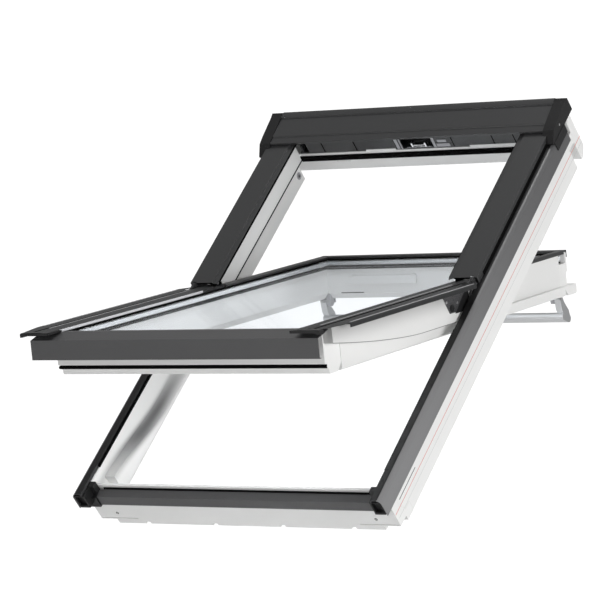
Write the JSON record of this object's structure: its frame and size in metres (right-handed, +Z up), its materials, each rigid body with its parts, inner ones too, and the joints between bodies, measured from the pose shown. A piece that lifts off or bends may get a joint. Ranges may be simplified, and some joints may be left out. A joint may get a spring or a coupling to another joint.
{
  "type": "roof skylight",
  "caption": "Centre-pivot roof skylight with cladded frame, double-glazed sash, friction hinges, control bar and barrel bolt, shown half open.",
  "frame": {"origin": "centre of the sill's room-side face, which lies on the lining plane", "axes": "+X across the window to the right as seen from outside, +Y level and into the roof, +Z up; the frame is pitched 45 degrees about X"},
  "size_m": [0.8046, 1.1685, 0.9468],
  "materials": {
    "white_coat": "white moulded polyurethane over timber, satin",
    "dark_cladding": "dark grey coated aluminium sheet, satin",
    "cover_plate": "dark grey coated aluminium sheet, satin",
    "black_plastic": "black moulded plastic",
    "rubber": "black extruded rubber",
    "zinc_steel": "dark passivated zinc on pressed steel",
    "screw_steel": "bright plated steel",
    "grey_plastic": "light grey moulded plastic",
    "filter_foam": "grey open foam",
    "bar_aluminium": "satin anodised",
    "glass": "clear float glass with a low-emissivity coat",
    "spacer": "plain aluminium spacer"
  },
  "bodies": {
    "frame": {"jamb_left": "white_coat", "jamb_right": "white_coat", "head": "white_coat", "sill": "white_coat", "side_cladding_left": "dark_cladding", "side_cladding_right": "dark_cladding", "upper_cover_left": "dark_cladding", "upper_cover_right": "dark_cladding", "top_hood": "dark_cladding", "hood_cap_left": "black_plastic", "hood_cap_right": "black_plastic", "sill_cover": "cover_plate", "sill_corner_left": "black_plastic", "sill_corner_right": "black_plastic", "lower_gasket_left": "rubber", "lower_gasket_right": "rubber", "upper_gasket_left": "rubber", "upper_gasket_right": "rubber", "head_gasket": "rubber", "sill_gasket": "rubber", "vent_channel": "dark_cladding", "lock_striker": "screw_steel", "frame_hinge_left": "zinc_steel", "frame_hinge_right": "zinc_steel", "bolt_bush": "grey_plastic", "frame_screws": "screw_steel"},
    "sash": {"stile_left": "white_coat", "stile_right": "white_coat", "top_rail": "white_coat", "bottom_rail": "white_coat", "outer_pane": "glass", "inner_pane": "glass", "pane_spacer": "spacer", "outer_seal": "rubber", "inner_seal": "rubber", "bottom_cover": "cover_plate", "sash_cover_left": "dark_cladding", "sash_cover_right": "dark_cladding", "cover_end_left": "black_plastic", "cover_end_right": "black_plastic", "sash_profile_left": "dark_cladding", "sash_profile_right": "dark_cladding", "top_cover": "dark_cladding", "bottom_seal": "rubber", "sash_hinge_left": "zinc_steel", "sash_hinge_right": "zinc_steel", "sash_screws": "screw_steel", "lock_case": "zinc_steel", "air_filter": "filter_foam", "bar_bracket_left": "grey_plastic", "bar_bracket_right": "grey_plastic", "bolt_housing": "grey_plastic"},
    "control_bar": {"control_bar": "bar_aluminium"},
    "vent_flap": {"vent_flap": "white_coat"},
    "lock_latch": {"lock_latch": "zinc_steel"},
    "barrel_bolt": {"barrel_bolt": "zinc_steel"}
  },
  "joints": [
    {"name": "sash_pivot", "type": "hinge", "parent": "frame", "child": "sash", "pos_m": [0, 0.31113, 0.5077], "axis": [-1, 0, 0], "range_deg": [-36, 114]},
    {"name": "bar_pivot", "type": "hinge", "parent": "sash", "child": "control_bar", "pos_m": [0, 0.79411, 0.4627], "axis": [-1, 0, 0], "range_deg": [-18, 0]},
    {"name": "flap_hinge", "type": "hinge", "parent": "sash", "child": "vent_flap", "pos_m": [-0.145, 0.77375, 0.52731], "axis": [-1, 0, 0], "range_deg": [-18, 0]},
    {"name": "latch_slide", "type": "slide", "parent": "sash", "child": "lock_latch", "axis": [0, 0.9877, 0.1564], "range_m": [0, 0.012]},
    {"name": "bolt_slide", "type": "slide", "parent": "sash", "child": "barrel_bolt", "axis": [-1, 0, 0], "range_m": [0, 0.014]}
  ],
  "couplings": [
    {"joint": "flap_hinge", "follows": "bar_pivot", "ratio": 1},
    {"joint": "latch_slide", "follows": "bar_pivot", "m_per_rad": -0.0381}
  ]
}
